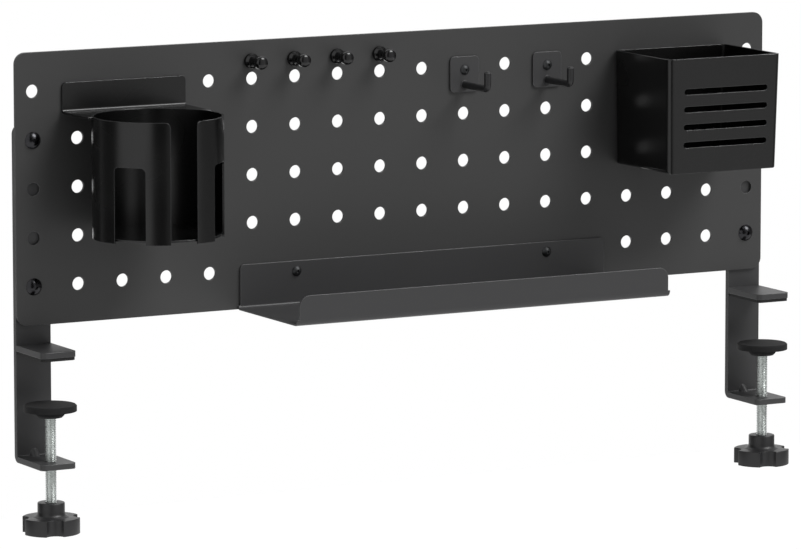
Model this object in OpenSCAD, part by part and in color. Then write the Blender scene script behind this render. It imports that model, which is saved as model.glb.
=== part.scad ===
// Steel pegboard that clamps onto the rear edge of a desk, with a cup holder, a pen box, a tray,
// two hooks and four magnetic push pins. Millimetres.
// X runs to the right, Y away from the user and Z up. The origin is the middle of the desk's rear
// edge: Y = 0 is the board's back and the clamp bars' front face, and Z = 0 is the desk top.

/* [Board] */
// Hole-to-hole distance of the grid
hole_pitch = 34; // [33:0.5:38]
// Number of hole columns
hole_cols = 18; // [18:1:24]
// Number of hole rows
hole_rows = 5; // [5:1:8]
// Diameter of a grid hole
hole_d = 9.3; // [8.9:0.1:10]
// Board beyond the end columns
side_margin = 13.25; // [13.25:0.25:20]
// Board beyond the top and bottom rows
end_margin = 27; // [22:0.5:36]
// Thickness of the board's sheet
board_t = 2; // [1.5:0.1:2.5]
// Corner radius of the board
board_r = 8; // [4:0.5:12]
// Height of the board's lower edge over the desk top
board_gap = 19.5; // [12:0.5:40]

/* [Clamps] */
// Width of a clamp bar and of its jaws
bar_w = 26.5; // [22:0.5:26.5]
// Thickness of a clamp bar and of its jaws
bar_t = 4; // [3:0.5:5]
// Inner radius of the bend between bar and lower jaw
bar_bend_r = 1; // [1:0.5:4]
// Bar above its upper bolt
bar_top_edge = 11.5; // [9:0.5:14]
// Corner radius of the bar's top
bar_top_r = 7; // [3:0.5:8]
// Corner radius of the jaws
jaw_r = 3.5; // [2:0.5:10]
// Forward reach of the upper jaw
upper_jaw_l = 42.4; // [38:0.1:46]
// Forward reach of the lower jaw
lower_jaw_l = 40.8; // [38:0.1:46]
// Clear height between the upper jaw's pad and the lower jaw
jaw_gap = 72; // [60:1:90]
// Thickness of the upper jaw's rubber pad
jaw_pad_t = 2.2; // [1:0.1:4]
// Steel left bare around the rubber pad
jaw_pad_inset = 0.5; // [0.5:0.1:1.5]
// Radius of the stiffening rib pressed into the bend
rib_r = 3.6; // [2:0.2:4]
// Rows of holes below the lower bolts
bolt_row_low = 0; // [0:1:1]
// Rows of holes above the upper bolts
bolt_row_high = 1; // [1:1:2]
// Thread diameter of the bar bolts
bolt_d = 6; // [5:1:6]
// Head diameter of the bar bolts
bolt_head_d = 12; // [11:0.5:14]
// Head height of the bar bolts
bolt_head_h = 3.4; // [2.5:0.1:4]

/* [Clamp screws] */
// Desk thickness that the clamps are set to
desk_t = 32.3; // [20:0.1:50]
// Thread diameter of a clamp screw
screw_d = 8; // [8:0.5:10]
// Distance of the screw's axis in front of the bar
screw_y = 26.5; // [25:0.5:28]
// Screw that shows between foot and knob
screw_free_l = 59.5; // [50:0.1:80]
// Radial running gap of the screw in the lower jaw and in the foot
screw_gap = 0.08; // [0.05:0.01:0.1]
// Diameter of the swivel foot
foot_d = 36.8; // [30:0.2:40]
// Thickness of the foot's disc
foot_t = 4.4; // [4:0.1:6]
// Diameter of the foot's boss
foot_boss_d = 19.6; // [16:0.2:22]
// Height of the foot's boss
foot_boss_h = 4.4; // [4:0.1:8]
// Diameter of the knob
knob_d = 40.4; // [34:0.2:48]
// Height of the knob's lobed part
knob_h = 11.2; // [8:0.2:16]
// Diameter of the knob's hub
hub_d = 19; // [15:0.5:22]
// Height of the knob's hub over the lobed part
hub_h = 10.3; // [6:0.1:14]
// Diameter of the hollows between the lobes
hollow_d = 13; // [8:0.5:16]
// Depth of the hollows below the knob's outer circle
hollow_depth = 4.7; // [2:0.1:6]

/* [Sheet metal] */
// Thickness of the sheet that the holders are folded from
sheet_t = 1.5; // [1.2:0.1:2]
// Inner radius of the tight folds
fold_r = 1.5; // [0.5:0.1:2.5]
// Gap between a hung holder and the board
seat_gap = 0.3; // [0.2:0.05:0.6]
// Diameter of the hook pins
peg_d = 4; // [3.5:0.1:4.2]
// Distance by which a hook pin's leg reaches below its neck
peg_drop = 4.5; // [3:0.1:4.8]
// Sideways play that the hung holders have taken up
hang_shift = 1.5; // [-2:0.1:2]
// Edge of a hung holder above the centres of its holes
hang_edge = 5; // [4.8:0.1:8]

/* [Cup holder] */
// Outer diameter of the cup
cup_d = 91; // [80:1:96]
// Height of the cup
cup_h = 84.2; // [70:0.2:110]
// Distance of the cup's axis in front of its flange
cup_reach = 53.7; // [52:0.1:62]
// Width of the cup's flange
cup_flange_w = 94.8; // [94.8:0.2:100]
// Height of the cup's flange over its plate
cup_flange_h = 20.1; // [18:0.1:26]
// Width of the full-height gap at the front
cup_gap_w = 19.8; // [12:0.2:26]
// Width of a lower slot
cup_slot_w = 23.6; // [14:0.2:24]
// Height of a lower slot
cup_slot_h = 53; // [30:1:62]
// Angle of the lower slots from straight ahead
cup_slot_turn = 49.6; // [46:0.2:60]
// Radius at the corners of gap and slots
cup_corner_r = 3.5; // [1:0.5:5]
// Turn of the rolled wall in its bracket
cup_turn = -2.6; // [-4:0.2:4]
// Height of the base's underside over the wall's lower edge
cup_base_lift = 1.6; // [0.8:0.2:10]

/* [Pen box] */
// Width of the pen box at its floor
box_w = 91; // [80:1:100]
// Depth of the pen box at its floor
box_d = 75.5; // [60:0.5:90]
// Distance that each side leans outward over the height
box_flare = 1.6; // [0.4:0.1:6]
// Distance that the front leans outward over the height
front_flare = 2.1; // [0.4:0.1:8]
// Height of the pen box
box_h = 83; // [70:1:110]
// Radius of the box's upright folds
box_fold_r = 4.5; // [2.5:0.5:7]
// Radius of the folds along the floor's sides
box_floor_r = 3.4; // [2.5:0.1:6]
// Number of slots in the front
vent_count = 4; // [2:1:5]
// Length of a slot
vent_l = 70; // [40:0.5:72]
// Height of a slot
vent_h = 4.3; // [3:0.1:6]
// Distance between slots
vent_pitch = 12.8; // [10:0.1:14]
// Top edge of the box to the first slot's centre
vent_drop = 23.9; // [15:0.1:26]
// Sideways offset of the slots
vent_shift = 1.2; // [-2:0.1:2]

/* [Tray] */
// Length of the tray
tray_l = 300; // [240:1:306]
// Depth of the tray
tray_d = 92; // [70:1:110]
// Height of the tray's flange
tray_flange_h = 32; // [26:0.5:40]
// Height of the tray's lip
tray_lip_h = 21.3; // [14:0.1:26]
// Inner radius of the fold under the lip
lip_fold_r = 3; // [1:0.5:5]
// Corner radius of the lip
lip_corner_r = 7.5; // [3:0.5:9]
// Step from the tray's ends in to its flange and lip
fold_step = 1.6; // [0.4:0.1:4]
// Corner radius of flanges
flange_corner_r = 3; // [1:0.5:3.5]
// Flange above the centres of the holes that it is screwed to
tray_edge = 4.7; // [4.7:0.1:6]
// Columns between the tray's middle and a screw
tray_screw_cols = 3; // [2:1:3]

/* [Hooks and fasteners] */
// Width of a hook's plate
hook_plate_w = 23.3; // [18:0.1:28]
// Height of a hook's plate
hook_plate_h = 25.5; // [24:0.1:32]
// Plate above the centre of the hole that it is screwed to
hook_edge = 7; // [6:0.1:8]
// Diameter of a hook's rod
rod_d = 5; // [4:0.2:6]
// Height of the rod's axis over the plate's lower edge
rod_lift = 5; // [4:0.1:6]
// Forward reach of the rod's upright end
rod_reach = 33.2; // [24:0.1:44]
// Height of the upright end over the rod's axis
rod_rise = 12.6; // [10:0.1:20]
// Radius of the rod's bend, along its axis
rod_bend_r = 3.4; // [3.1:0.1:6]
// Thread diameter of the small screws
fix_d = 4; // [3:0.5:4.5]
// Head diameter of the small screws
fix_head_d = 7.6; // [6:0.2:8]
// Head height of the small screws
fix_head_h = 2.4; // [1.6:0.1:3]
// Diameter of the wide washers behind the board
washer_d = 15; // [14.5:0.5:18]
// Thickness of the wide washers
washer_t = 1.2; // [0.8:0.1:2]

/* [Push pins] */
// Base diameter of a push pin
pin_base_d = 10.8; // [9:0.2:13]
// Waist diameter of a push pin
pin_waist_d = 6; // [5:0.2:7]
// Head diameter of a push pin
pin_head_d = 9.4; // [8:0.2:12]
// Length of a push pin
pin_l = 19.4; // [16:0.2:26]
// Diameter of the magnet in the base
magnet_d = 8; // [6:0.5:8]
// Thickness of the magnet
magnet_t = 2; // [1:0.1:2.4]
// Height of the pins over the top row of holes
pin_rise = 12.4; // [11:0.1:14]
// Sideways offset of the pins from their columns
pin_shift = -1; // [-4:0.5:4]

/* [Hidden] */
$fn = 96;
// Overrun of cuts through a face
cut = 1;
// Gap between pieces that are welded or glued together
weld_gap = 0.05;
// Radial gap around bolts and screws in plain holes
bolt_gap = 0.25;
// Nuts and screw heads, as shares of the thread's diameter and of the head's height
nut_w_share = 1.7;
nut_h_share = 0.8;
socket_w_share = 0.58;
socket_h_share = 0.45;
// Thread that shows behind a nut
screw_end = 1;

// Board, seen from its front
board_w = (hole_cols - 1) * hole_pitch + 2 * side_margin;
board_h = (hole_rows - 1) * hole_pitch + 2 * end_margin;
board_mid_z = board_gap + board_h / 2;
board_front = -board_t;
function col_x(c) = (c - (hole_cols - 1) / 2) * hole_pitch;
function row_z(r) = board_mid_z + ((hole_rows - 1) / 2 - r) * hole_pitch;
last_col = hole_cols - 1;
last_row = hole_rows - 1;

// Clamps
clamp_x = col_x(last_col);
sides = [-1, 1];
bolt_rows = [bolt_row_high, last_row - bolt_row_low];
bar_top_z = row_z(bolt_row_high) + bar_top_edge;
lower_jaw_top = -jaw_gap;
lower_jaw_bottom = lower_jaw_top - bar_t;
bolt_nut_h = nut_h_share * bolt_d;
bolt_l = board_t + bar_t + bolt_nut_h + screw_end;

// Clamp screws: the foot rests under the desk, and the screw stands in its socket
foot_top = -desk_t;
boss_bottom = foot_top - foot_t - foot_boss_h;
foot_web = 2.2;
foot_edge = 0.8;
boss_edge = 1.5;
tip_gap = 0.3;
screw_top = foot_top - foot_web - tip_gap;
hub_top = boss_bottom - screw_free_l;
knob_top = hub_top - hub_h;
knob_bottom = knob_top - knob_h;
knob_web = 3;
screw_bottom = knob_bottom + knob_web;
screw_chamfer = 1;
// Snap ring that keeps the screw's tip in the foot
ring_t = 1;
ring_z = boss_bottom + boss_edge;
ring_bite = 0.9;
ring_rim = 1.2;
ring_inner_d = screw_d - 2 * ring_bite;
ring_outer_d = screw_d + 2 * ring_rim;
ring_gap = 0.1;
// Knob with four lobes, turned as it stands
lobes = 4;
knob_turn = 28;
knob_edge = 2;
hub_flare_w = 3;
hub_flare_h = 2.4;

// Hook pins hang on the lower edge of their holes, to one side
peg_play = (hole_d - peg_d) / 2 - seat_gap;
peg_z = -sqrt(peg_play * peg_play - hang_shift * hang_shift);
peg_bend_r = peg_d / 2 + 0.2;
peg_back = 0.4;
peg_tip = 0.8;
peg_leg = peg_drop + peg_d / 2 - peg_bend_r - peg_tip;
holder_back = board_front - seat_gap;
holder_front = holder_back - sheet_t;
hang_z = row_z(0) + hang_edge;

// Cup holder, on the third column
cup_col = 2;
cup_x = col_x(cup_col) + hang_shift;
cup_y = holder_back - cup_reach;
cup_top = hang_z - cup_flange_h;
cup_bottom = cup_top - cup_h;
cup_plate_share = 0.125;
cup_plate_end = cup_y + cup_plate_share * cup_d;

// Pen box, on the third column from the right
box_col = last_col - 2;
box_x = col_x(box_col) + hang_shift;
box_bottom = hang_z - box_h;

// Tray, screwed to the bottom row
tray_col = 9;
tray_shift = 1.8;
tray_x = col_x(tray_col) + tray_shift;
tray_top = row_z(last_row) + tray_edge;
tray_bottom = tray_top - tray_flange_h;
tray_front = board_front - tray_d;
fix_z = -(hole_d - fix_d) / 2 + weld_gap;
fix_nut_h = nut_h_share * fix_d;
fix_l = sheet_t + board_t + washer_t + fix_nut_h + screw_end;
tray_screw_z = row_z(last_row) + fix_z;
tray_screw_x = [for (s = sides) col_x(tray_col + s * tray_screw_cols)];

// Hooks, screwed to the top row
hook_cols = [10, 12];
hook_top = row_z(0) + hook_edge;
hook_bottom = hook_top - hook_plate_h;
hook_screw_z = row_z(0) + fix_z;
hook_front = board_front - sheet_t;
rod_z = hook_bottom + rod_lift;
rod_tip_edge = 1;

// Push pins, above columns six to nine
pin_cols = [5, 6, 7, 8];
pin_z = row_z(0) + pin_rise;
pin_back = board_front - weld_gap;
// Lengths along the pin, as shares of it
pin_base_share = 0.15;
pin_waist_shares = [0.32, 0.56];
pin_head_shares = [0.68, 0.9];
pin_tip_share = 0.36;

// Outlines

// Tongue from y = 0 to y = l with two rounded corners at its end
module tongue(w, l, r) {
    difference() {
        translate([-w / 2, 0]) square([w, l]);
        for (s = sides)
            translate([s * (w / 2 - r), l - r])
                difference() {
                    translate([s > 0 ? 0 : -2 * r, 0]) square(2 * r);
                    circle(r);
                }
    }
}

// Rectangle with four round corners, centred
module round_rect(w, h, r) {
    square([w, h - 2 * r], center = true);
    square([w - 2 * r, h], center = true);
    for (sx = sides, sy = sides)
        translate([sx * (w / 2 - r), sy * (h / 2 - r)]) circle(r);
}

// Slot with round ends along x, centred
module slot_outline(l, h) {
    square([l - h, h], center = true);
    for (s = sides)
        translate([s * (l - h) / 2, 0]) circle(h / 2);
}

// Upright sheet from an outline in x and z: its front is at y = front, and it is t thick
module upright(front, t) {
    translate([0, front + t, 0]) rotate([90, 0, 0]) linear_extrude(t) children();
}

// Level sheet from an outline in x and forward reach: its underside is at z = bottom
module level(bottom, t) {
    translate([0, 0, bottom]) linear_extrude(t) mirror([0, 1]) children();
}

// Quarter of a bent sheet along x, w wide: the bend's axis is at [y, z], and it fills the
// quarter on the sides [sy, sz] of the axis
module fold(w, y, z, inner_r, t, sy, sz) {
    outer_r = inner_r + t;
    translate([-w / 2, y, z]) rotate([90, 0, 90]) linear_extrude(w)
        intersection() {
            difference() {
                circle(outer_r);
                circle(inner_r);
            }
            translate([sy > 0 ? 0 : -outer_r, sz > 0 ? 0 : -outer_r]) square(outer_r);
        }
}

// Cylinder along +Y from y = front
module along_y(front, l, d) {
    translate([0, front, 0]) rotate([-90, 0, 0]) cylinder(h = l, d = d);
}

// Quarter of a bent rod: it starts along -Y at the origin and ends upward
module elbow(d, r) {
    translate([0, 0, r]) rotate([180, 90, 0])
        rotate_extrude(angle = 90) translate([r, 0]) circle(d = d);
}

// Fasteners

// Screw with a domed head: the head sits on the plane y = seat and the shank runs to +Y
module button_screw(seat, d, l, head_d, head_h) {
    dome_r = (head_d * head_d / 4 + head_h * head_h) / (2 * head_h);
    socket_w = socket_w_share * d;
    socket_h = socket_h_share * head_h;
    difference() {
        intersection() {
            translate([0, seat - head_h + dome_r, 0]) sphere(dome_r);
            along_y(seat - head_h, head_h, head_d);
        }
        translate([0, seat - head_h - cut, 0]) rotate([-90, 0, 0])
            cylinder(h = socket_h + cut, d = socket_w, $fn = 6);
    }
    along_y(seat, l, d);
}

// Hexagonal nut along +Y from y = front
module hex_nut(front, d, h) {
    difference() {
        translate([0, front, 0]) rotate([-90, 0, 0])
            cylinder(h = h, d = nut_w_share * d / cos(30), $fn = 6);
        along_y(front - cut, h + 2 * cut, d);
    }
}

// Flat washer along +Y from y = front
module washer(front, d, outer_d, t) {
    difference() {
        along_y(front, t, outer_d);
        along_y(front - cut, t + 2 * cut, d + 2 * bolt_gap);
    }
}

// Board

// Holes for the bar bolts, through board and bars
module bar_bolt_holes() {
    for (s = sides, r = bolt_rows)
        translate([s * clamp_x, 0, row_z(r)])
            along_y(board_front - cut, board_t + bar_t + 2 * cut, bolt_d + 2 * bolt_gap);
}

// Whether a grid place holds a bar bolt
function bolted(c, r) = (c == 0 || c == last_col) && (r == bolt_rows[0] || r == bolt_rows[1]);

module board() {
    color("#3f4042")
        difference() {
            translate([0, 0, board_mid_z])
                upright(board_front, board_t) round_rect(board_w, board_h, board_r);
            for (c = [0:last_col], r = [0:last_row])
                if (!bolted(c, r))
                    translate([col_x(c), 0, row_z(r)])
                        along_y(board_front - cut, board_t + 2 * cut, hole_d);
            bar_bolt_holes();
        }
}

// Clamps

// Flat bar that is bent forward into the lower jaw
module clamp_bar(side) {
    bend_top = lower_jaw_top + bar_bend_r;
    color("#2c2d2f")
        difference() {
            translate([side * clamp_x, 0, 0]) {
                translate([0, 0, bend_top])
                    upright(0, bar_t) tongue(bar_w, bar_top_z - bend_top, bar_top_r);
                fold(bar_w, -bar_bend_r, bend_top, bar_bend_r, bar_t, 1, -1);
                translate([0, -bar_bend_r, 0])
                    level(lower_jaw_bottom, bar_t)
                        tongue(bar_w, lower_jaw_l - bar_bend_r, jaw_r);
                bend_rib();
            }
            bar_bolt_holes();
            translate([side * clamp_x, -screw_y, lower_jaw_bottom - cut])
                cylinder(h = bar_t + 2 * cut, d = screw_d + 2 * screw_gap);
        }
}

// Half-round rib across the inside of the bend
module bend_rib() {
    reach = rib_r * sqrt(2);
    intersection() {
        translate([-rib_r, -reach, lower_jaw_top]) cube([2 * rib_r, reach, reach]);
        translate([0, 0, lower_jaw_top]) rotate([-45, 0, 0])
            cylinder(h = 4 * rib_r, r = rib_r, center = true);
    }
}

// Plate that is welded to the bar's front
module upper_jaw(side) {
    color("#2c2d2f")
        translate([side * clamp_x, 0, 0])
            level(jaw_pad_t, bar_t) tongue(bar_w, upper_jaw_l, jaw_r);
}

module jaw_pad(side) {
    color("#151515")
        translate([side * clamp_x, -jaw_pad_inset, 0])
            level(0, jaw_pad_t)
                tongue(bar_w - 2 * jaw_pad_inset, upper_jaw_l - 2 * jaw_pad_inset, jaw_r - jaw_pad_inset);
}

module bar_bolts() {
    color("#1b1b1c")
        for (s = sides, r = bolt_rows)
            translate([s * clamp_x, 0, row_z(r)])
                button_screw(board_front, bolt_d, bolt_l, bolt_head_d, bolt_head_h);
}

module bar_nuts() {
    color("#1b1b1c")
        for (s = sides, r = bolt_rows)
            translate([s * clamp_x, 0, row_z(r)])
                hex_nut(bar_t, bolt_d, bolt_nut_h);
}

// Swivel foot: a disc with a boss that holds the screw's tip
module foot(side) {
    color("#202122")
        translate([side * clamp_x, -screw_y, 0])
            difference() {
                union() {
                    translate([0, 0, foot_top - foot_t])
                        cylinder(h = foot_t - foot_edge, d = foot_d);
                    translate([0, 0, foot_top - foot_edge])
                        cylinder(h = foot_edge, d1 = foot_d, d2 = foot_d - 2 * foot_edge);
                    translate([0, 0, boss_bottom + boss_edge])
                        cylinder(h = foot_boss_h - boss_edge, d = foot_boss_d);
                    translate([0, 0, boss_bottom])
                        cylinder(h = boss_edge, d1 = foot_boss_d - 2 * boss_edge, d2 = foot_boss_d);
                }
                translate([0, 0, boss_bottom - cut])
                    cylinder(h = screw_top + tip_gap - boss_bottom + cut, d = screw_d + 2 * screw_gap);
                translate([0, 0, ring_z - ring_gap])
                    cylinder(h = ring_t + 2 * ring_gap, d = ring_outer_d + 2 * ring_gap);
            }
}

module foot_ring(side) {
    color("#8d8f90")
        translate([side * clamp_x, -screw_y, ring_z])
            difference() {
                cylinder(h = ring_t, d = ring_outer_d);
                translate([0, 0, -cut])
                    cylinder(h = ring_t + 2 * cut, d = ring_inner_d + 2 * screw_gap);
            }
}

module clamp_screw(side) {
    color("#a9aba6")
        translate([side * clamp_x, -screw_y, 0])
            difference() {
                union() {
                    translate([0, 0, screw_bottom])
                        cylinder(h = screw_top - screw_bottom - screw_chamfer, d = screw_d);
                    translate([0, 0, screw_top - screw_chamfer])
                        cylinder(h = screw_chamfer, d1 = screw_d, d2 = screw_d - 2 * screw_chamfer);
                }
                translate([0, 0, ring_z - ring_gap])
                    difference() {
                        cylinder(h = ring_t + 2 * ring_gap, d = screw_d + 2 * cut);
                        translate([0, 0, -cut])
                            cylinder(h = ring_t + 2 * ring_gap + 2 * cut, d = ring_inner_d);
                    }
            }
}

module knob(side) {
    hollow_x = knob_d / 2 - hollow_depth + hollow_d / 2;
    color("#232425")
        translate([side * clamp_x, -screw_y, 0])
            difference() {
                union() {
                    difference() {
                        knob_disc();
                        for (i = [0:lobes - 1])
                            rotate([0, 0, knob_turn + (i + 1 / 2) * 360 / lobes])
                                translate([hollow_x, 0, knob_bottom - cut])
                                    cylinder(h = knob_h + 2 * cut, d = hollow_d);
                    }
                    translate([0, 0, knob_top])
                        cylinder(h = hub_flare_h, d1 = hub_d + 2 * hub_flare_w, d2 = hub_d);
                    translate([0, 0, knob_top])
                        cylinder(h = hub_h, d = hub_d);
                }
                translate([0, 0, screw_bottom])
                    cylinder(h = hub_top - screw_bottom + cut, d = screw_d + 2 * weld_gap);
            }
}

// Round body of the knob with bevelled edges
module knob_disc() {
    translate([0, 0, knob_bottom])
        cylinder(h = knob_edge, d1 = knob_d - 2 * knob_edge, d2 = knob_d);
    translate([0, 0, knob_bottom + knob_edge])
        cylinder(h = knob_h - 2 * knob_edge, d = knob_d);
    translate([0, 0, knob_top - knob_edge])
        cylinder(h = knob_edge, d1 = knob_d, d2 = knob_d - 2 * knob_edge);
}

// Hook pins: a neck through the hole and a leg down behind the board
module hook_pins(cols) {
    leg_y = peg_back + peg_d / 2;
    bend_y = leg_y - peg_bend_r;
    for (c = cols)
        translate([col_x(c) + hang_shift, 0, row_z(0) + peg_z]) {
            along_y(holder_back, bend_y - holder_back, peg_d);
            translate([0, bend_y, 0]) rotate([180, 0, 0]) elbow(peg_d, peg_bend_r);
            translate([0, leg_y, -peg_bend_r - peg_leg])
                cylinder(h = peg_leg, d = peg_d);
            translate([0, leg_y, -peg_bend_r - peg_leg - peg_tip])
                cylinder(h = peg_tip, d1 = peg_d - 2 * peg_tip, d2 = peg_d);
        }
}

// Cup holder

// Flange and plate, folded from one sheet, with a round opening for the cup
module cup_bracket() {
    fold_y = holder_front - fold_r;
    color("#242526")
        translate([cup_x, 0, 0]) {
            translate([0, 0, cup_top + fold_r])
                upright(holder_front, sheet_t)
                    tongue(cup_flange_w, cup_flange_h - fold_r, flange_corner_r);
            fold(cup_flange_w, fold_y, cup_top + fold_r, fold_r, sheet_t, 1, -1);
            difference() {
                translate([0, 0, cup_top - sheet_t]) linear_extrude(sheet_t) polygon([
                    [-cup_flange_w / 2, fold_y],
                    [cup_flange_w / 2, fold_y],
                    [cup_d / 2 + weld_gap + sheet_t, cup_plate_end],
                    [-cup_d / 2 - weld_gap - sheet_t, cup_plate_end]
                ]);
                translate([0, cup_y, cup_top - sheet_t - cut])
                    cylinder(h = sheet_t + 2 * cut, d = cup_d + 2 * weld_gap);
            }
        }
}

// Opening for the front gap: as wide as the gap, and flared at the rim into round corners
module gap_outline(w, h, r) {
    translate([-w / 2, -cut]) square([w, h + 2 * cut]);
    difference() {
        translate([-w / 2 - r, h - r]) square([w + 2 * r, r + cut]);
        for (s = sides)
            translate([s * (w / 2 + r), h - r]) circle(r);
    }
}

// Rolled wall with a gap at the front and two lower slots
module cup_wall() {
    color("#242526")
        translate([cup_x, cup_y, cup_bottom]) rotate([0, 0, cup_turn])
            difference() {
                cylinder(h = cup_h, d = cup_d);
                translate([0, 0, -cut]) cylinder(h = cup_h + 2 * cut, d = cup_d - 2 * sheet_t);
                rotate([90, 0, 0]) linear_extrude(cup_d) gap_outline(cup_gap_w, cup_h, cup_corner_r);
                for (s = sides)
                    rotate([0, 0, s * cup_slot_turn]) rotate([90, 0, 0]) linear_extrude(cup_d)
                        translate([0, -cut]) tongue(cup_slot_w, cup_slot_h + cut, cup_corner_r);
            }
}

module cup_base() {
    color("#242526")
        translate([cup_x, cup_y, cup_bottom + cup_base_lift])
            cylinder(h = sheet_t, d = cup_d - 2 * sheet_t - 2 * weld_gap);
}

module cup_hook_pins() {
    color("#242526") hook_pins([cup_col - 1, cup_col + 1]);
}

// Pen box

// Large upright prism with one corner on the corner [sx, sy] of the box's form shrunk by t, and
// leaning outward with it: the back stays upright
module box_corner(sx, sy, t) {
    lean_x = sx * box_flare / box_h;
    lean_y = sy < 0 ? -front_flare / box_h : 0;
    corner_x = sx * (box_w / 2 - t);
    corner_y = sy < 0 ? t - box_d : -t;
    multmatrix([[1, 0, lean_x, 0], [0, 1, lean_y, 0], [0, 0, 1, 0]])
        translate([corner_x - sx * box_w, corner_y - sy * box_d, -cut])
            linear_extrude(box_h + 3 * cut) round_rect(2 * box_w, 2 * box_d, box_fold_r - t);
}

// Cross section with leaning sides and round folds at the floor, from y = t up to y = top
module box_section(t, top) {
    lean = atan(box_flare / box_h);
    floor_r = box_floor_r - t;
    center_y = t + floor_r;
    center_x = box_w / 2 - t + center_y * tan(lean) - floor_r / cos(lean);
    side_x = center_x + floor_r * cos(lean);
    side_y = center_y - floor_r * sin(lean);
    top_x = box_w / 2 - t + top * tan(lean);
    polygon([
        [-center_x, t], [center_x, t], [side_x, side_y],
        [top_x, top], [-top_x, top], [-side_x, side_y]
    ]);
    for (s = sides)
        translate([s * center_x, center_y]) circle(floor_r);
}

// Outside or, shrunk by t, inside of the box
module box_form(t, top) {
    intersection() {
        box_corner(-1, -1, t);
        box_corner(1, -1, t);
        box_corner(-1, 1, t);
        box_corner(1, 1, t);
        rotate([90, 0, 0]) linear_extrude(4 * box_d, center = true) box_section(t, top);
    }
}

module pen_box() {
    color("#242526")
        translate([box_x, holder_back, box_bottom])
            difference() {
                box_form(0, box_h);
                box_form(sheet_t, box_h + cut);
                for (i = [0:vent_count - 1])
                    translate([vent_shift, -box_d, box_h - vent_drop - i * vent_pitch])
                        upright(-front_flare - cut, front_flare + sheet_t + 2 * cut)
                            slot_outline(vent_l, vent_h);
            }
}

module pen_box_hook_pins() {
    color("#242526") hook_pins([box_col - 1, box_col + 1]);
}

// Tray

module tray() {
    back_fold_y = board_front - sheet_t - fold_r;
    front_fold_y = tray_front + sheet_t + lip_fold_r;
    color("#333436")
        difference() {
            translate([tray_x, 0, 0]) {
                translate([0, 0, tray_bottom + sheet_t + fold_r])
                    upright(board_front - sheet_t, sheet_t)
                        tongue(tray_l - 2 * fold_step, tray_flange_h - sheet_t - fold_r, flange_corner_r);
                fold(tray_l, back_fold_y, tray_bottom + sheet_t + fold_r, fold_r, sheet_t, 1, -1);
                translate([-tray_l / 2, front_fold_y, tray_bottom])
                    cube([tray_l, back_fold_y - front_fold_y, sheet_t]);
                fold(tray_l, front_fold_y, tray_bottom + sheet_t + lip_fold_r, lip_fold_r, sheet_t, -1, -1);
                translate([0, 0, tray_bottom + sheet_t + lip_fold_r])
                    upright(tray_front, sheet_t)
                        tongue(tray_l - 2 * fold_step, tray_lip_h - sheet_t - lip_fold_r, lip_corner_r);
            }
            for (x = tray_screw_x)
                translate([x, 0, tray_screw_z])
                    along_y(board_front - sheet_t - cut, sheet_t + 2 * cut, fix_d + 2 * bolt_gap);
        }
}

module tray_screws() {
    color("#1b1b1c")
        for (x = tray_screw_x)
            translate([x, 0, tray_screw_z])
                button_screw(board_front - sheet_t, fix_d, fix_l, fix_head_d, fix_head_h);
}

module tray_washers() {
    color("#1b1b1c")
        for (x = tray_screw_x)
            translate([x, 0, tray_screw_z]) washer(0, fix_d, washer_d, washer_t);
}

module tray_nuts() {
    color("#1b1b1c")
        for (x = tray_screw_x)
            translate([x, 0, tray_screw_z]) hex_nut(washer_t, fix_d, fix_nut_h);
}

// Hooks

module hook_plate(i) {
    color("#333436")
        translate([col_x(hook_cols[i]), 0, 0])
            difference() {
                translate([0, 0, hook_top - hook_plate_h / 2])
                    upright(hook_front, sheet_t)
                        round_rect(hook_plate_w, hook_plate_h, flange_corner_r);
                translate([0, 0, hook_screw_z])
                    along_y(hook_front - cut, sheet_t + 2 * cut, fix_d + 2 * bolt_gap);
            }
}

// Rod that runs forward from the plate and turns up
module hook_rod(i) {
    bend_y = hook_front - rod_reach + rod_bend_r;
    color("#232425")
        translate([col_x(hook_cols[i]), 0, rod_z]) {
            along_y(bend_y, hook_front - bend_y, rod_d);
            translate([0, bend_y, 0]) elbow(rod_d, rod_bend_r);
            translate([0, bend_y - rod_bend_r, rod_bend_r])
                cylinder(h = rod_rise - rod_bend_r - rod_tip_edge, d = rod_d);
            translate([0, bend_y - rod_bend_r, rod_rise - rod_tip_edge])
                cylinder(h = rod_tip_edge, d1 = rod_d, d2 = rod_d - 2 * rod_tip_edge);
        }
}

module hook_screws() {
    color("#1b1b1c")
        for (c = hook_cols)
            translate([col_x(c), 0, hook_screw_z])
                button_screw(hook_front, fix_d, fix_l, fix_head_d, fix_head_h);
}

module hook_washers() {
    color("#1b1b1c")
        for (c = hook_cols)
            translate([col_x(c), 0, hook_screw_z]) washer(0, fix_d, washer_d, washer_t);
}

module hook_nuts() {
    color("#1b1b1c")
        for (c = hook_cols)
            translate([col_x(c), 0, hook_screw_z]) hex_nut(washer_t, fix_d, fix_nut_h);
}

// Push pins

// Turned body: base, waist and head around the Y axis, with a recess for the magnet
module push_pin(i) {
    base_r = pin_base_d / 2;
    waist_r = pin_waist_d / 2;
    head_r = pin_head_d / 2;
    base_l = pin_base_share * pin_l;
    edge = base_l / 4;
    color("#141415")
        translate([col_x(pin_cols[i]) + pin_shift, pin_back, pin_z]) rotate([90, 0, 0])
            difference() {
                rotate_extrude() polygon([
                    [0, 0],
                    [base_r - edge, 0],
                    [base_r, edge],
                    [base_r, base_l - edge],
                    [base_r - edge, base_l],
                    [waist_r, pin_waist_shares[0] * pin_l],
                    [waist_r, pin_waist_shares[1] * pin_l],
                    [head_r, pin_head_shares[0] * pin_l],
                    [head_r, pin_head_shares[1] * pin_l],
                    [head_r - pin_tip_share * waist_r, pin_l],
                    [0, pin_l]
                ]);
                translate([0, 0, -cut]) cylinder(h = magnet_t + cut, d = magnet_d);
            }
}

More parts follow.
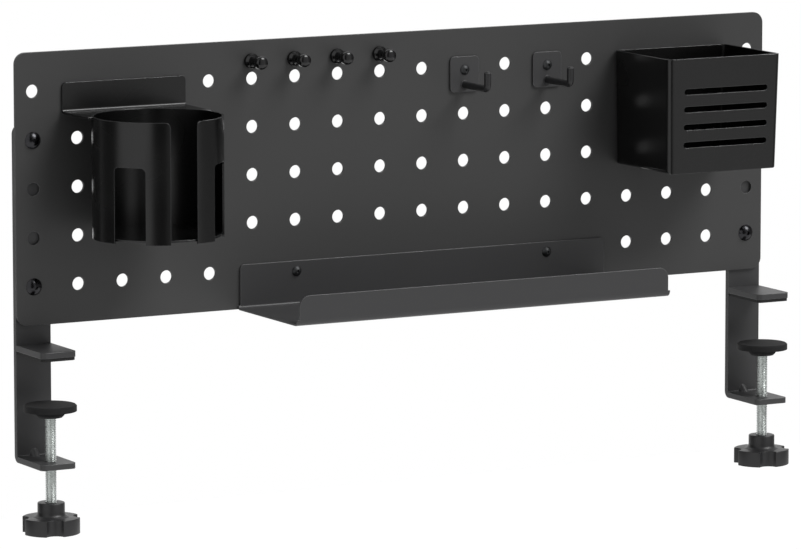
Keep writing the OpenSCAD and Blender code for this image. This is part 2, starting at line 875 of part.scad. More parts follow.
module pin_magnet(i) {
    color("#9a9c9e")
        translate([col_x(pin_cols[i]) + pin_shift, pin_back, pin_z]) rotate([90, 0, 0])
            cylinder(h = magnet_t, d = magnet_d);
}

board();
clamp_bar(-1);  // left_clamp_bar
clamp_bar(1);  // right_clamp_bar
upper_jaw(-1);  // left_upper_jaw
upper_jaw(1);  // right_upper_jaw
jaw_pad(-1);  // left_jaw_pad
jaw_pad(1);  // right_jaw_pad
bar_bolts();
bar_nuts();
foot(-1);  // left_foot
foot(1);  // right_foot
foot_ring(-1);  // left_foot_ring
foot_ring(1);  // right_foot_ring
clamp_screw(-1);  // left_clamp_screw
clamp_screw(1);  // right_clamp_screw
knob(-1);  // left_knob
knob(1);  // right_knob
cup_bracket();
cup_wall();
cup_base();
cup_hook_pins();
pen_box();
pen_box_hook_pins();
tray();
tray_screws();
tray_washers();
tray_nuts();
hook_plate(0);  // hook_plate_1
hook_plate(1);  // hook_plate_2
hook_rod(0);  // hook_rod_1
hook_rod(1);  // hook_rod_2
hook_screws();
hook_washers();
hook_nuts();
push_pin(0);  // push_pin_1
push_pin(1);  // push_pin_2
push_pin(2);  // push_pin_3
push_pin(3);  // push_pin_4
pin_magnet(0);  // pin_magnet_1
pin_magnet(1);  // pin_magnet_2
pin_magnet(2);  // pin_magnet_3
pin_magnet(3);  // pin_magnet_4
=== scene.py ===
# %% [markdown]
# # A steel pegboard that clamps to a desk
# The rack is sheet metal with a powder coat. Its solids come from CAD, and this lesson gives them
# their looks: coats, plastics and platings made of nodes, plus the small parts that a CAD model
# keeps plain, such as real threads, moulded knobs and turned pins.
# First the frame is loaded. The looks must not change the rack's size.

# %% Load the frame
import math

import bpy
from mathutils import Matrix, Vector


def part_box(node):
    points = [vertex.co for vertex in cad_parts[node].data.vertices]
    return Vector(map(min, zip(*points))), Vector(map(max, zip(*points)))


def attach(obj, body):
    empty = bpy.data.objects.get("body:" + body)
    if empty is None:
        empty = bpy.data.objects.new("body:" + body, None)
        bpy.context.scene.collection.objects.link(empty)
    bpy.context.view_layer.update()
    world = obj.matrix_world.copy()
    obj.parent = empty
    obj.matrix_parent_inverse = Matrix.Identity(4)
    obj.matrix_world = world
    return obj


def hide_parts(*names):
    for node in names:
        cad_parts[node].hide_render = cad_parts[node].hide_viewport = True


MM = 0.001
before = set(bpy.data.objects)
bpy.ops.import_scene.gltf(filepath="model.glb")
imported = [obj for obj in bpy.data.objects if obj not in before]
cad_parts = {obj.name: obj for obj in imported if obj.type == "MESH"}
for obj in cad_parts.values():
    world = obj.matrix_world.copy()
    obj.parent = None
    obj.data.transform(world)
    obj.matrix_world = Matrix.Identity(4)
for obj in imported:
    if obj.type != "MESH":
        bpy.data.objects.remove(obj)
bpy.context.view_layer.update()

# %% [markdown]
# ## Colours
# Paint makers give colours as sRGB hex codes, but a shader adds light in linear values. One
# function turns the first into the second, so every colour below can be read as a plain code.

# %% Colour helper
def linear(hex_code):
    """Linear RGBA of an sRGB hex code such as 3f4042."""
    srgb = [int(hex_code[i:i + 2], 16) / 255 for i in (0, 2, 4)]
    return [v / 12.92 if v <= 0.04045 else ((v + 0.055) / 1.055) ** 2.4 for v in srgb] + [1.0]


print("mid grey 808080 is", round(linear("808080")[0], 3), "in linear light")

# %% [markdown]
# ## Nodes
# A node tree is easier to read as text if each node is one call: its kind, its settings and the
# outputs that feed it. Settings are either attributes of the node or values of its inputs.

# %% Node helper
def add_node(material, kind, settings=None, links=None):
    """Adds one node. Keys in lower case are attributes, other keys and numbers are inputs."""
    node = material.node_tree.nodes.new(kind)
    for key, value in (settings or {}).items():
        if isinstance(key, str) and key.islower():
            setattr(node, key, value)
        else:
            node.inputs[key].default_value = value
    for key, output in (links or {}).items():
        material.node_tree.links.new(output, node.inputs[key])
    return node


# Nearly all of a noise texture's values lie between these two
NOISE_LOW, NOISE_HIGH = 0.3, 0.7


def start_material(name, hex_code, roughness, metallic=0.0, ior=1.5):
    """New material with one Principled shader. A metal keeps the shader's own IOR."""
    material = bpy.data.materials.new(name)
    material.use_nodes = True
    material.node_tree.nodes.clear()
    settings = {"Base Color": linear(hex_code), "Roughness": roughness, "Metallic": metallic}
    if metallic == 0.0:
        settings["IOR"] = ior
    shader = add_node(material, "ShaderNodeBsdfPrincipled", settings)
    add_node(material, "ShaderNodeOutputMaterial", links={"Surface": shader.outputs["BSDF"]})
    material.diffuse_color = linear(hex_code)
    return material, shader


# %% [markdown]
# ## Powder coat
# Powder coat is dry polyester powder that is sprayed on charged steel and baked. It flows a
# little as it melts, so it keeps a soft skin of tiny bumps, called orange peel, about a
# millimetre apart. It pulls thin over cut edges, which end up a bit smoother and paler. The
# edge colour here is much paler than that: it is mostly a painted highlight for the light that
# rounded edges catch. The bumps are a noise texture into a Bump node. The rounded edges come
# from a Bevel node, which bends the shading normal near an edge, and the angle between that normal
# and the true one marks the edge for the paler colour, the painted highlight. A modelled bevel
# would need clean quads on every sheet.

# %% Powder coat recipe
EDGE_ROUND = 0.6 * MM
# Agreement of rounded and true normal where an edge begins, and where it is full
EDGE_BEGINS, EDGE_FULL = 0.995, 0.85
# An edge is smoother than the flat coat by this roughness
EDGE_POLISH = 0.12
# The coat's gloss drifts over this width, up and down by this roughness
DRIFT_WIDTH, DRIFT = 60 * MM, 0.04


def powder_coat(name, coat_hex, edge_highlight_hex, roughness, peel_mm, peel_height_mm):
    """Baked polyester powder on steel sheet."""
    material, shader = start_material(name, coat_hex, roughness)
    place = add_node(material, "ShaderNodeTexCoord").outputs["Object"]
    # Orange peel: one bump every peel_mm
    peel = add_node(material, "ShaderNodeTexNoise",
                    {"Scale": 1 / (peel_mm * MM), "Detail": 3.0, "Roughness": 0.55},
                    {"Vector": place})
    rounded = add_node(material, "ShaderNodeBevel", {"samples": 6, "Radius": EDGE_ROUND})
    skin = add_node(material, "ShaderNodeBump",
                    {"Strength": 0.6, "Distance": peel_height_mm * MM},
                    {"Height": peel.outputs["Fac"], "Normal": rounded.outputs["Normal"]})
    # Thin coat on the edges, and mostly painted highlight: where the rounded normal leaves the
    # flat one
    flat = add_node(material, "ShaderNodeNewGeometry").outputs["True Normal"]
    same = add_node(material, "ShaderNodeVectorMath", {"operation": "DOT_PRODUCT"},
                    {0: rounded.outputs["Normal"], 1: flat})
    edge = add_node(material, "ShaderNodeMapRange",
                    {"From Min": EDGE_BEGINS, "From Max": EDGE_FULL, "To Min": 0.0, "To Max": 1.0},
                    {"Value": same.outputs["Value"]})
    # The coat's thickness also drifts over a hand's width, which moves its gloss a little
    drift = add_node(material, "ShaderNodeTexNoise", {"Scale": 1 / DRIFT_WIDTH, "Detail": 2.0},
                     {"Vector": place})
    gloss = add_node(material, "ShaderNodeMapRange",
                     {"From Min": NOISE_LOW, "From Max": NOISE_HIGH,
                      "To Min": roughness - DRIFT, "To Max": roughness + DRIFT},
                     {"Value": drift.outputs["Fac"]})
    worn = add_node(material, "ShaderNodeMath", {"operation": "MULTIPLY_ADD", 1: -EDGE_POLISH},
                    {0: edge.outputs["Result"], 2: gloss.outputs["Result"]})
    # Painted highlight: the edges take the pale edge colour in place of the light they catch
    painted_edge_highlight = add_node(material, "ShaderNodeMix",
                    {"data_type": "RGBA", 6: linear(coat_hex), 7: linear(edge_highlight_hex)},
                    {0: edge.outputs["Result"]})
    tree = material.node_tree
    tree.links.new(painted_edge_highlight.outputs[2], shader.inputs["Base Color"])
    tree.links.new(worn.outputs["Value"], shader.inputs["Roughness"])
    tree.links.new(skin.outputs["Normal"], shader.inputs["Normal"])
    return material


# %% [markdown]
# The board, the clamp bars, the tray and the hooks' plates wear a dry, fine-grained matte coat,
# and the hooks' rods a darker copy of it, whose extra darkness is painted shade: it stands in for
# the shade that falls on the rods. The cup holder and the pen box are blacker and glossier, so
# that the board behind them shows in their sides.

# %% Five coats
# The second code of each coat is its edge colour, mostly a painted highlight
board_coat = powder_coat("matte_polyester_coat_board", "3e3e3e", "676768", 0.50, 0.9, 0.012)
frame_coat = powder_coat("matte_polyester_coat_clamps", "3b3b3c", "6a6b6b", 0.48, 0.9, 0.012)
tray_coat = powder_coat("matte_polyester_coat_tray", "3b3b3c", "747475", 0.46, 0.9, 0.012)
holder_coat = powder_coat("satin_polyester_coat_holders", "080808", "404142", 0.25, 1.3, 0.006)
# Painted shade: the rods' coat is darker than the plates' to stand in for the shade on the rods
hook_coat_painted_shade = powder_coat("matte_polyester_coat_hooks_painted_shade", "252526", "6a6a6b", 0.42, 0.9, 0.012)
coats = (board_coat, frame_coat, tray_coat, holder_coat, hook_coat_painted_shade)
print("powder coats:", [m.name for m in coats])

# %% [markdown]
# ## Plastics and rubber
# The knobs and feet are glass-filled polyamide, moulded in a spark-eroded tool: the steel's pits,
# some tenths of a millimetre apart, print a fine dry grain. The push pins come from a
# polished tool, so they are smooth and glossy. The jaw pads are die-cut rubber sheet, matte
# and slightly mottled. All four use the same idea: noise at the real grain size into a bump,
# which on the pins is only a broad, faint wave.

# %% Moulded plastics and rubber
MOULD_EDGE = 0.4 * MM


def moulded(name, hex_code, roughness, grain_mm, grain_height_mm, mottle):
    """Moulded plastic or rubber: a grain bump, and gloss that is mottled by the same grain."""
    material, shader = start_material(name, hex_code, roughness)
    place = add_node(material, "ShaderNodeTexCoord").outputs["Object"]
    grain = add_node(material, "ShaderNodeTexNoise",
                     {"Scale": 1 / (grain_mm * MM), "Detail": 4.0, "Roughness": 0.6},
                     {"Vector": place})
    rounded = add_node(material, "ShaderNodeBevel", {"samples": 4, "Radius": MOULD_EDGE})
    skin = add_node(material, "ShaderNodeBump",
                    {"Strength": 0.7, "Distance": grain_height_mm * MM},
                    {"Height": grain.outputs["Fac"], "Normal": rounded.outputs["Normal"]})
    gloss = add_node(material, "ShaderNodeMapRange",
                     {"From Min": NOISE_LOW, "From Max": NOISE_HIGH,
                      "To Min": roughness - mottle, "To Max": roughness + mottle},
                     {"Value": grain.outputs["Fac"]})
    material.node_tree.links.new(gloss.outputs["Result"], shader.inputs["Roughness"])
    material.node_tree.links.new(skin.outputs["Normal"], shader.inputs["Normal"])
    return material


knob_plastic = moulded("moulded_polyamide_knob", "232324", 0.42, 0.5, 0.03, 0.06)
foot_plastic = moulded("moulded_polyamide_foot", "0c0c0d", 0.85, 0.5, 0.02, 0.05)
pin_plastic = moulded("polished_abs_pin", "070708", 0.20, 2.5, 0.01, 0.03)
pad_rubber = moulded("die_cut_rubber_pad", "0e0e0e", 0.75, 0.8, 0.05, 0.08)
print("moulded:", [m.name for m in (knob_plastic, foot_plastic, pin_plastic, pad_rubber)])

# %% [markdown]
# ## Plated metals
# The clamp screws are steel with bright zinc, which is pale and slightly cloudy: the plating
# grows in patches, so its gloss changes every few millimetres. The bolts, nuts and washers
# have black zinc, a dark mirror with a haze, and the small screws in front are phosphated to a
# dull mid grey. Rings are plain spring steel and the magnets in the pins are nickel plated.
# All are metals, so only colour and gloss differ.

# %% Plated metals
PLATED_EDGE = 0.15 * MM
DULL_SHARE = 0.82


def plated(name, hex_code, roughness, patch_mm, cloud):
    """Plated or rolled metal: gloss and tone that drift from patch to patch."""
    material, shader = start_material(name, hex_code, roughness, metallic=1.0)
    place = add_node(material, "ShaderNodeTexCoord").outputs["Object"]
    patch = add_node(material, "ShaderNodeTexNoise",
                     {"Scale": 1 / (patch_mm * MM), "Detail": 5.0, "Roughness": 0.6},
                     {"Vector": place})
    gloss = add_node(material, "ShaderNodeMapRange",
                     {"From Min": NOISE_LOW, "From Max": NOISE_HIGH,
                      "To Min": roughness - cloud, "To Max": roughness + cloud},
                     {"Value": patch.outputs["Fac"]})
    dull = [v * DULL_SHARE for v in linear(hex_code)[:3]] + [1.0]
    tone = add_node(material, "ShaderNodeMix",
                    {"data_type": "RGBA", 6: linear(hex_code), 7: dull},
                    {0: patch.outputs["Fac"]})
    rounded = add_node(material, "ShaderNodeBevel", {"samples": 4, "Radius": PLATED_EDGE})
    tree = material.node_tree
    tree.links.new(tone.outputs[2], shader.inputs["Base Color"])
    tree.links.new(gloss.outputs["Result"], shader.inputs["Roughness"])
    tree.links.new(rounded.outputs["Normal"], shader.inputs["Normal"])
    return material


bright_zinc = plated("bright_zinc_plated_steel", "e2e6e4", 0.34, 3.0, 0.08)
black_zinc = plated("black_zinc_plated_steel", "3a3a3c", 0.24, 2.0, 0.05)
grey_zinc = plated("phosphated_zinc_steel", "48494a", 0.50, 2.0, 0.05)
spring_steel = plated("rolled_spring_steel", "9a9c9e", 0.30, 1.5, 0.05)
nickel = plated("nickel_plated_magnet", "c4c2bb", 0.18, 1.5, 0.04)
print("plated:", [m.name for m in (bright_zinc, black_zinc, grey_zinc, spring_steel, nickel)])

# %% [markdown]
# ## Dress the CAD solids
# Each solid whose shape is right stays as it is and only changes its material. The table below
# reads like a parts list: finish first, then the solids that wear it.

# %% Materials of the CAD solids
SIDES = ("left", "right")
finish_of = {}
for material, nodes in (
    (board_coat, ["board"]),
    (frame_coat, [s + part for s in SIDES for part in ("_clamp_bar", "_upper_jaw")]),
    (pad_rubber, [s + "_jaw_pad" for s in SIDES]),
    (foot_plastic, [s + "_foot" for s in SIDES]),
    (spring_steel, [s + "_foot_ring" for s in SIDES]),
    (bright_zinc, [s + "_clamp_screw" for s in SIDES]),
    (knob_plastic, [s + "_knob" for s in SIDES]),
    (holder_coat, ["cup_bracket", "cup_wall", "cup_base", "cup_hook_pins",
                   "pen_box", "pen_box_hook_pins"]),
    (hook_coat_painted_shade, ["hook_rod_1", "hook_rod_2"]),
    (tray_coat, ["tray", "hook_plate_1", "hook_plate_2"]),
    (black_zinc, ["bar_bolts", "bar_nuts", "tray_washers", "tray_nuts",
                  "hook_washers", "hook_nuts"]),
    (grey_zinc, ["tray_screws", "hook_screws"]),
    (pin_plastic, ["push_pin_%d" % i for i in (1, 2, 3, 4)]),
    (nickel, ["pin_magnet_%d" % i for i in (1, 2, 3, 4)]),
):
    for node in nodes:
        finish_of[node] = material

for node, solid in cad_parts.items():
    solid.data.materials.clear()
    solid.data.materials.append(finish_of[node])
print(len(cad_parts), "solids dressed")

# %% [markdown]
# ## Tools for turned parts
# Pins, spigots and hubs are turned: round about one axis. By hand they start as a circle that is
# extruded step by step and scaled at each step, so the list of steps is the part's drawing.
# A bevel then breaks the edges, and smooth shading by angle keeps the flats flat.

# %% Turning helpers
# Turned parts are shaded smooth where they turn by less than this
TURNED_SMOOTH = math.radians(50)


def to_edit_mode(piece):
    """Makes one piece active and alone, and opens it in edit mode with all of it selected."""
    bpy.ops.object.select_all(action="DESELECT")
    piece.select_set(True)
    bpy.context.view_layer.objects.active = piece
    bpy.ops.object.mode_set(mode="EDIT")
    bpy.ops.mesh.select_all(action="SELECT")


def turned(name, steps, corners=64):
    """Round part along +Z from steps of (height, radius), closed at both ends."""
    (height, radius), rest = steps[0], steps[1:]
    bpy.ops.object.select_all(action="DESELECT")
    bpy.ops.mesh.primitive_circle_add(vertices=corners, radius=radius, fill_type="NGON",
                                      location=(0, 0, height))
    piece = bpy.context.object
    piece.name = name
    to_edit_mode(piece)
    for next_height, next_radius in rest:
        bpy.ops.mesh.extrude_region_move(
            TRANSFORM_OT_translate={"value": (0, 0, next_height - height)})
        share = next_radius / radius
        bpy.ops.transform.resize(value=(share, share, 1), center_override=(0, 0, next_height))
        height, radius = next_height, next_radius
    bpy.ops.mesh.select_all(action="SELECT")
    bpy.ops.mesh.remove_doubles(threshold=0.001 * MM)
    bpy.ops.mesh.normals_make_consistent(inside=False)
    bpy.ops.object.mode_set(mode="OBJECT")
    bpy.ops.object.transform_apply(location=True, rotation=True, scale=True)
    return piece


def break_edges(piece, width, segments, sharper_than=35):
    """Bevels edges that turn by more than sharper_than degrees, and shades the rest smooth."""
    bpy.ops.object.select_all(action="DESELECT")
    piece.select_set(True)
    bpy.context.view_layer.objects.active = piece
    bevel = piece.modifiers.new("edge", "BEVEL")
    bevel.width, bevel.segments = width, segments
    bevel.limit_method, bevel.angle_limit = "ANGLE", math.radians(sharper_than)
    bevel.use_clamp_overlap = True
    bpy.ops.object.modifier_apply(modifier=bevel.name)
    bpy.ops.object.shade_smooth_by_angle(angle=math.radians(sharper_than))


def set_in_place(piece, matrix, material):
    """Moves a finished piece to its place in the mesh itself, and gives it its material."""
    piece.data.transform(matrix)
    piece.data.update()
    piece.data.materials.clear()
    piece.data.materials.append(material)


def copy_of(piece, name):
    """Copy with a mesh of its own."""
    twin = piece.copy()
    twin.data = piece.data.copy()
    twin.name = name
    bpy.context.collection.objects.link(twin)
    return twin


# %% [markdown]
# ## Clamp screws
# The clamp screws have a rolled M8 thread: one groove that climbs 1.25 mm a turn. In CAD they
# are plain rods. Here a single vertex is extruded into one tooth of the thread, and a Screw
# modifier winds that tooth up the shank, which gives the true helix and the jagged outline that
# shows against the light. The top of the screw is turned, with the neck that holds its ring.

# %% Thread
PITCH = 1.25 * MM
MAJOR_R = 4.0 * MM
MINOR_R = 3.35 * MM
# The thread ends this far below the snap ring
THREAD_RUNOUT = 1.2 * MM
# Corners that the winding has in one turn
STEPS_A_TURN = 28
# One tooth from its root: steps outward, and up as shares of the pitch
FLAT, FLANK = 0.14, 0.36
# Low enough to keep the crest and the root of the thread crisp
THREAD_SMOOTH = math.radians(25)
screw_lo, screw_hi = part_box("right_clamp_screw")
ring_lo, ring_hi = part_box("right_foot_ring")
thread_top = ring_lo.z - THREAD_RUNOUT
turns = int((thread_top - screw_lo.z) / PITCH)

bpy.ops.object.select_all(action="DESELECT")
bpy.ops.mesh.primitive_plane_add(size=MM)
thread = bpy.context.object
thread.name = "right_threaded_screw"
to_edit_mode(thread)
bpy.ops.mesh.merge(type="CENTER")
bpy.ops.transform.translate(value=(MINOR_R, 0, 0))
depth = MAJOR_R - MINOR_R
for out, up in ((0, FLAT), (depth, FLANK), (0, FLAT), (-depth, FLANK)):
    bpy.ops.mesh.extrude_region_move(TRANSFORM_OT_translate={"value": (out, 0, up * PITCH)})
bpy.ops.object.mode_set(mode="OBJECT")
winding = thread.modifiers.new("winding", "SCREW")
winding.steps = winding.render_steps = STEPS_A_TURN
winding.screw_offset = PITCH
winding.iterations = turns
winding.use_merge_vertices = True
bpy.ops.object.modifier_apply(modifier=winding.name)
to_edit_mode(thread)
bpy.ops.mesh.remove_doubles(threshold=0.01 * MM)
bpy.ops.mesh.fill_holes(sides=0)
bpy.ops.mesh.select_all(action="SELECT")
bpy.ops.mesh.normals_make_consistent(inside=False)
bpy.ops.object.mode_set(mode="OBJECT")
bpy.ops.object.shade_smooth_by_angle(angle=THREAD_SMOOTH)
print("thread:", turns, "turns,", len(thread.data.polygons), "faces")

# %% [markdown]
# Above the thread the screw is plain and turned. A narrow neck holds the snap ring that keeps the
# foot on, and a bevelled tip stands in the foot. Both threads are copies of one mesh, and each
# rides on its own knob, so that a turning knob carries its screw along.

# %% Neck and tip of the screw
RING_PLAY = 0.1 * MM
NECK_R = 3.1 * MM
TIP_BEVEL = 1 * MM
# The spigot widens from the thread's root to full size over this height
SPIGOT_FLARE = 0.5 * MM
SPIGOT_SMOOTH = math.radians(35)
spigot_foot = thread_top - screw_lo.z - PITCH
neck_from = ring_lo.z - screw_lo.z - RING_PLAY
neck_to = ring_hi.z - screw_lo.z + RING_PLAY
tip = screw_hi.z - screw_lo.z
spigot = turned("spigot", [
    (spigot_foot, MINOR_R), (spigot_foot + SPIGOT_FLARE, MAJOR_R), (neck_from, MAJOR_R),
    (neck_from, NECK_R), (neck_to, NECK_R), (neck_to, MAJOR_R),
    (tip - TIP_BEVEL, MAJOR_R), (tip, MAJOR_R - TIP_BEVEL),
], corners=48)
bpy.ops.object.shade_smooth_by_angle(angle=SPIGOT_SMOOTH)
bpy.ops.object.select_all(action="DESELECT")
spigot.select_set(True)
thread.select_set(True)
bpy.context.view_layer.objects.active = thread
bpy.ops.object.join()
middle = (screw_lo + screw_hi) / 2
left_thread = copy_of(thread, "left_threaded_screw")
for side, piece, x in (("right", thread, middle.x), ("left", left_thread, -middle.x)):
    set_in_place(piece, Matrix.Translation((x, middle.y, screw_lo.z)), bright_zinc)
    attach(piece, side + "_clamp_knob")
    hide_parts(side + "_clamp_screw")
print("screw: tip at", round(screw_hi.z / MM, 1), "mm, foot at", round(screw_lo.z / MM, 1), "mm")

# %% [markdown]
# ## Knobs
# A knob is moulded in one piece: a disc with four finger hollows and a tall hub that flares into
# it. The hollows are cut with upright cylinders, as the mould is, and a wide bevel rounds
# every edge the way a hand needs it. The hub is turned and joined on.

# %% Knob
knob_lo, knob_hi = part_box("right_knob")
knob_mid = (knob_lo + knob_hi) / 2
GRIP_H = 11.2 * MM
HUB_R = 9.5 * MM
HOLLOW_R = 6.5 * MM
HOLLOW_DEPTH = 4.7 * MM
KNOB_TURN = math.radians(28)
KNOB_R = 20.2 * MM
GRIP_EDGE = 1.9 * MM

bpy.ops.object.select_all(action="DESELECT")
bpy.ops.mesh.primitive_cylinder_add(vertices=128, radius=KNOB_R, depth=GRIP_H,
                                    location=(0, 0, GRIP_H / 2))
knob = bpy.context.object
knob.name = "right_moulded_knob"
bpy.ops.object.transform_apply(location=True)
for i in range(4):
    angle = KNOB_TURN + (i + 0.5) * math.pi / 2
    reach = KNOB_R - HOLLOW_DEPTH + HOLLOW_R
    bpy.ops.mesh.primitive_cylinder_add(
        vertices=64, radius=HOLLOW_R, depth=3 * GRIP_H,
        location=(reach * math.cos(angle), reach * math.sin(angle), 0))
    cutter = bpy.context.object
    hollow = knob.modifiers.new("hollow", "BOOLEAN")
    hollow.operation, hollow.solver, hollow.object = "DIFFERENCE", "EXACT", cutter
    bpy.ops.object.select_all(action="DESELECT")
    knob.select_set(True)
    bpy.context.view_layer.objects.active = knob
    bpy.ops.object.modifier_apply(modifier=hollow.name)
    bpy.data.objects.remove(cutter)
to_edit_mode(knob)
bpy.ops.mesh.remove_doubles(threshold=0.02 * MM)
bpy.ops.mesh.normals_make_consistent(inside=False)
bpy.ops.object.mode_set(mode="OBJECT")
break_edges(knob, GRIP_EDGE, 5)
print("grip:", len(knob.data.polygons), "faces")

# %% [markdown]
# The hub stands on the grip and widens towards it in a soft curve, which is a list of short steps
# here. Its upper end is open round the screw. The foot of the hub is sunk a little into the
# grip, so that no gap can show between them.

# %% Hub
HUB_H = knob_hi.z - knob_lo.z
hub = turned("hub", [
    (GRIP_H - 2.0 * MM, 13.5 * MM), (GRIP_H, 12.6 * MM), (GRIP_H + 0.7 * MM, 11.0 * MM),
    (GRIP_H + 1.6 * MM, 10.0 * MM), (GRIP_H + 2.6 * MM, 9.6 * MM), (GRIP_H + 4 * MM, HUB_R),
    (HUB_H - 0.7 * MM, HUB_R), (HUB_H - 0.2 * MM, HUB_R - 0.2 * MM), (HUB_H, HUB_R - 0.7 * MM),
    (HUB_H, 4.6 * MM), (HUB_H - 0.6 * MM, 4.1 * MM), (HUB_H - 3 * MM, 4.1 * MM),
], corners=96)
bpy.ops.object.shade_smooth_by_angle(angle=TURNED_SMOOTH)
bpy.ops.object.select_all(action="DESELECT")
hub.select_set(True)
knob.select_set(True)
bpy.context.view_layer.objects.active = knob
bpy.ops.object.join()
left_knob = copy_of(knob, "left_moulded_knob")
for side, piece, x in (("right", knob, knob_mid.x), ("left", left_knob, -knob_mid.x)):
    set_in_place(piece, Matrix.Translation((x, middle.y, knob_lo.z)), knob_plastic)
    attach(piece, side + "_clamp_knob")
    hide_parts(side + "_knob")
print("knob: grip", round(2 * KNOB_R / MM, 1), "mm across,", round(HUB_H / MM, 1), "mm high")

# %% [markdown]
# ## Push pins
# A push pin is a small turned shape with a magnet in its base: a flat foot, a thin waist and a
# head to pull on. It is turned upright, laid down so that it points away from the
# board, and copied to the four places where the CAD pins are.

# %% Push pins
pin_lo, pin_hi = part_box("push_pin_1")
pin_l = pin_hi.y - pin_lo.y
base_r = (pin_hi.x - pin_lo.x) / 2
pin = turned("glossy_push_pin_1", [
    (0, 4.1 * MM), (0, base_r - 0.5 * MM), (0.35 * MM, base_r), (2.2 * MM, base_r),
    (2.9 * MM, base_r - 0.6 * MM), (3.6 * MM, base_r - 1.6 * MM), (4.7 * MM, 3.5 * MM),
    (6.2 * MM, 3.0 * MM), (9.5 * MM, 3.0 * MM), (11.4 * MM, 3.5 * MM), (12.8 * MM, 4.4 * MM),
    (13.6 * MM, 4.7 * MM), (pin_l - 2.6 * MM, 4.7 * MM), (pin_l - 1.7 * MM, 4.4 * MM),
    (pin_l - 1.0 * MM, 3.8 * MM), (pin_l - 0.5 * MM, 2.9 * MM), (pin_l - 0.15 * MM, 1.7 * MM),
    (pin_l, 0.6 * MM),
], corners=64)
bpy.ops.object.shade_smooth_by_angle(angle=TURNED_SMOOTH)
pins = [pin] + [copy_of(pin, "glossy_push_pin_%d" % i) for i in (2, 3, 4)]
lay_down = Matrix.Rotation(math.radians(90), 4, "X")
for i, piece in enumerate(pins, 1):
    lo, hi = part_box("push_pin_%d" % i)
    seat = Vector(((lo.x + hi.x) / 2, hi.y, (lo.z + hi.z) / 2))
    set_in_place(piece, Matrix.Translation(seat) @ lay_down, pin_plastic)
    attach(piece, "pin_%d" % i)
    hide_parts("push_pin_%d" % i)
print("pins:", [p.name for p in pins])

# %% [markdown]
# ## Weld beads
# Each hook's rod is resistance welded to its plate, which squeezes out a small ring of steel that
# the coat then covers. A torus that is half sunk in the plate gives that ring, and scaling
# it along the rod makes it a flat, soft fillet instead of an O-ring.

# %% Weld beads of the hooks
BEAD_R = 0.75 * MM
BEAD_SWELL = 0.25 * MM
BEAD_FLAT = 0.8
for i in (1, 2):
    rod_lo, rod_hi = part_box("hook_rod_%d" % i)
    rod_r = (rod_hi.x - rod_lo.x) / 2
    bpy.ops.object.select_all(action="DESELECT")
    bpy.ops.mesh.primitive_torus_add(major_segments=64, minor_segments=16,
                                     major_radius=rod_r + BEAD_SWELL, minor_radius=BEAD_R,
                                     rotation=(math.radians(90), 0, 0))
    bead = bpy.context.object
    bead.name = "hook_weld_bead_%d" % i
    bpy.ops.object.transform_apply(location=True, rotation=True, scale=True)
    to_edit_mode(bead)
    bpy.ops.transform.resize(value=(1, BEAD_FLAT, 1), center_override=(0, 0, 0))
    bpy.ops.object.mode_set(mode="OBJECT")
    bpy.ops.object.shade_smooth()
    root = Vector(((rod_lo.x + rod_hi.x) / 2, rod_hi.y, rod_lo.z + rod_r))
    set_in_place(bead, Matrix.Translation(root), hook_coat_painted_shade)
    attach(bead, "rack")
    print(bead.name, "at", [round(v / MM, 1) for v in root])

# %% [markdown]
# ## Floor and background
# The rack hangs on a desk in use. Here it hangs over a pale floor, low enough that
# its soft shadow lies below the picture. The floor is lit like the rack, and a little
# light of its own, which only the camera and mirrors see, lifts it to clean white. It ends
# after a metre and a half, where the white studio goes on without a seam, so that the upright
# sheets mirror the studio and not an endless floor.

# %% Floor
FLOOR_Z = -0.42
FLOOR_SIZE = 3
FLOOR_LIFT = 0.34
bpy.ops.object.select_all(action="DESELECT")
bpy.ops.mesh.primitive_plane_add(size=FLOOR_SIZE, location=(0, 0, FLOOR_Z))
floor = bpy.context.object
floor.name = "pale_floor"
paper, paper_shader = start_material("matte_white_paper", "e6e6e6", 0.9)
seen = add_node(paper, "ShaderNodeLightPath")
direct = add_node(paper, "ShaderNodeMath", {"operation": "MAXIMUM"},
                  {0: seen.outputs["Is Camera Ray"], 1: seen.outputs["Is Glossy Ray"]})
direct = add_node(paper, "ShaderNodeMath", {"operation": "MAXIMUM"},
                  {0: direct.outputs["Value"], 1: seen.outputs["Is Transmission Ray"]})
lift = add_node(paper, "ShaderNodeMath", {"operation": "MULTIPLY", 1: FLOOR_LIFT},
                {0: direct.outputs["Value"]})
paper_shader.inputs["Emission Color"].default_value = (1, 1, 1, 1)
paper.node_tree.links.new(lift.outputs["Value"], paper_shader.inputs["Emission Strength"])
floor.data.materials.append(paper)
print("floor:", FLOOR_SIZE, "m wide at", FLOOR_Z, "m")

# %% [markdown]
# ## Light
# A studio lights dark steel with one big soft source above, to the right and in front, which
# draws the thin bright lines along the upper edges.
# Glossy black needs something to mirror: the walls are white behind the rack, and in front two
# tall panels stand with dark gaps between them. Only mirrors see the panels. They draw
# the upright streaks on the round cup and the bright line along the fold of the pen box. The
# panels are a colour ramp round the horizon, which is simpler than cards on stands.

# %% World
world = bpy.data.worlds.new("white_studio")
world.use_nodes = True
bpy.context.scene.world = world
world.node_tree.nodes.clear()
AMBIENT = 0.32
path = add_node(world, "ShaderNodeLightPath")
direct = add_node(world, "ShaderNodeMath", {"operation": "MAXIMUM"},
                  {0: path.outputs["Is Camera Ray"], 1: path.outputs["Is Glossy Ray"]})
direct = add_node(world, "ShaderNodeMath", {"operation": "MAXIMUM"},
                  {0: direct.outputs["Value"], 1: path.outputs["Is Transmission Ray"]})
level = add_node(world, "ShaderNodeMapRange", {"To Min": AMBIENT, "To Max": 1.0},
                 {"Value": direct.outputs["Value"]})
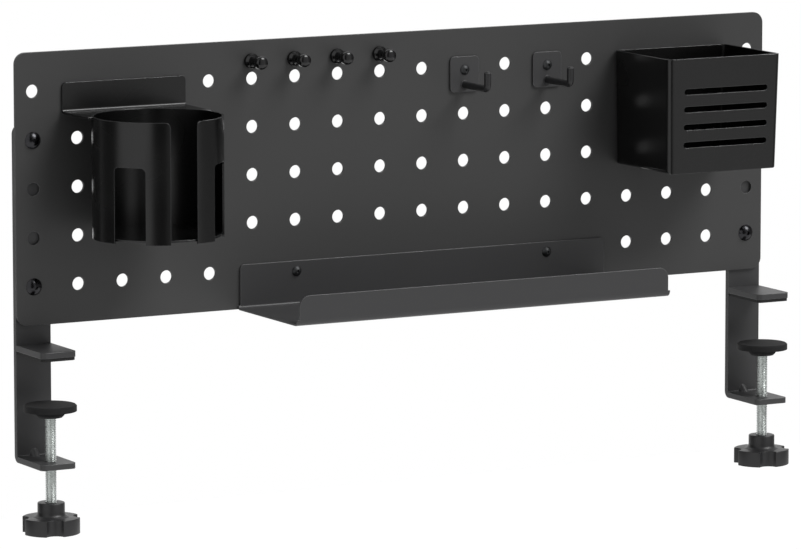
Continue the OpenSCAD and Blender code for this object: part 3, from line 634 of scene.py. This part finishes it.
# What mirrors see, as (degrees from straight ahead to the right, brightness)
PANELS = [(-180, 1.0), (-162, 0.9), (-150, 0.35), (-136, 0.05), (-104, 0.05), (-96, 0.85),
          (-40, 0.95), (-34, 0.04), (-12, 0.04), (-4, 0.52), (44, 0.68), (54, 0.28), (90, 0.17),
          (104, 0.25), (120, 0.6), (132, 1.0)]
way = add_node(world, "ShaderNodeTexCoord").outputs["Generated"]
part = add_node(world, "ShaderNodeSeparateXYZ", links={"Vector": way})
ahead = add_node(world, "ShaderNodeMath", {"operation": "MULTIPLY", 1: -1.0},
                 {0: part.outputs["Y"]})
angle = add_node(world, "ShaderNodeMath", {"operation": "ARCTAN2"},
                 {0: part.outputs["X"], 1: ahead.outputs["Value"]})
share = add_node(world, "ShaderNodeMapRange", {"From Min": -math.pi, "From Max": math.pi},
                 {"Value": angle.outputs["Value"]})
ring = add_node(world, "ShaderNodeValToRGB", links={"Fac": share.outputs["Result"]})
stops = ring.color_ramp.elements
# A ramp is born with two stops: both are straight behind, where the ring closes
stops[0].position, stops[0].color = 0.0, (1, 1, 1, 1)
stops[1].position, stops[1].color = 1.0, (1, 1, 1, 1)
for degrees, bright in PANELS[1:]:
    stops.new((degrees + 180) / 360).color = (bright, bright, bright, 1)
walls = add_node(world, "ShaderNodeMix", {"data_type": "RGBA", 6: (1, 1, 1, 1)},
                 {0: path.outputs["Is Glossy Ray"], 7: ring.outputs["Color"]})
sky = add_node(world, "ShaderNodeBackground", None,
               {"Color": walls.outputs[2], "Strength": level.outputs["Result"]})
add_node(world, "ShaderNodeOutputWorld", links={"Surface": sky.outputs["Background"]})

print("studio:", len(PANELS), "stops of brightness round the horizon")

# %% [markdown]
# The softbox is a Sun lamp with a wide angle. It casts soft shadows as a big panel would, and it
# lights the floor evenly too.

# %% Softbox
SOFTBOX_ENERGY = 2.2
SOFTBOX_WIDTH = math.radians(32)
lamp = bpy.data.lights.new("softbox", "SUN")
lamp.energy = SOFTBOX_ENERGY
lamp.angle = SOFTBOX_WIDTH
softbox = bpy.data.objects.new("softbox", lamp)
bpy.context.collection.objects.link(softbox)
softbox_from = Vector((0.42, -0.50, 0.76))
softbox.rotation_euler = softbox_from.to_track_quat("Z", "Y").to_euler()
print("softbox elevation:", round(math.degrees(math.asin(softbox_from.normalized().z))), "degrees")

# %% [markdown]
# ## Camera
# The view of the photograph was found from the grid of holes: a long lens, more than four metres
# away, that looks at the board from the left and slightly from above.

# %% Camera
IMAGE_W = 801
FOCAL_PX = 5942.354
SENSOR_W = 36
AZIMUTH, ELEVATION, ROLL = -28.54, 8.16043, -0.0304
CAMERA_AT = (-2.0089, -3.6954, 0.6378)
camera_data = bpy.data.cameras.new("camera")
camera_data.sensor_width = SENSOR_W
camera_data.lens = FOCAL_PX / IMAGE_W * camera_data.sensor_width
camera_data.shift_x = -0.5 / IMAGE_W
camera_data.shift_y = 0.5 / IMAGE_W
camera = bpy.data.objects.new("camera", camera_data)
bpy.context.collection.objects.link(camera)
turn = (Matrix.Rotation(math.radians(AZIMUTH), 3, "Z")
        @ Matrix.Rotation(math.radians(90 - ELEVATION), 3, "X")
        @ Matrix.Rotation(math.radians(ROLL), 3, "Z"))
camera.rotation_euler = turn.to_euler()
camera.location = CAMERA_AT
bpy.context.scene.camera = camera
bpy.context.scene.view_settings.view_transform = "Standard"
print("camera:", round(camera_data.lens), "mm lens at", [round(v, 2) for v in CAMERA_AT], "m")
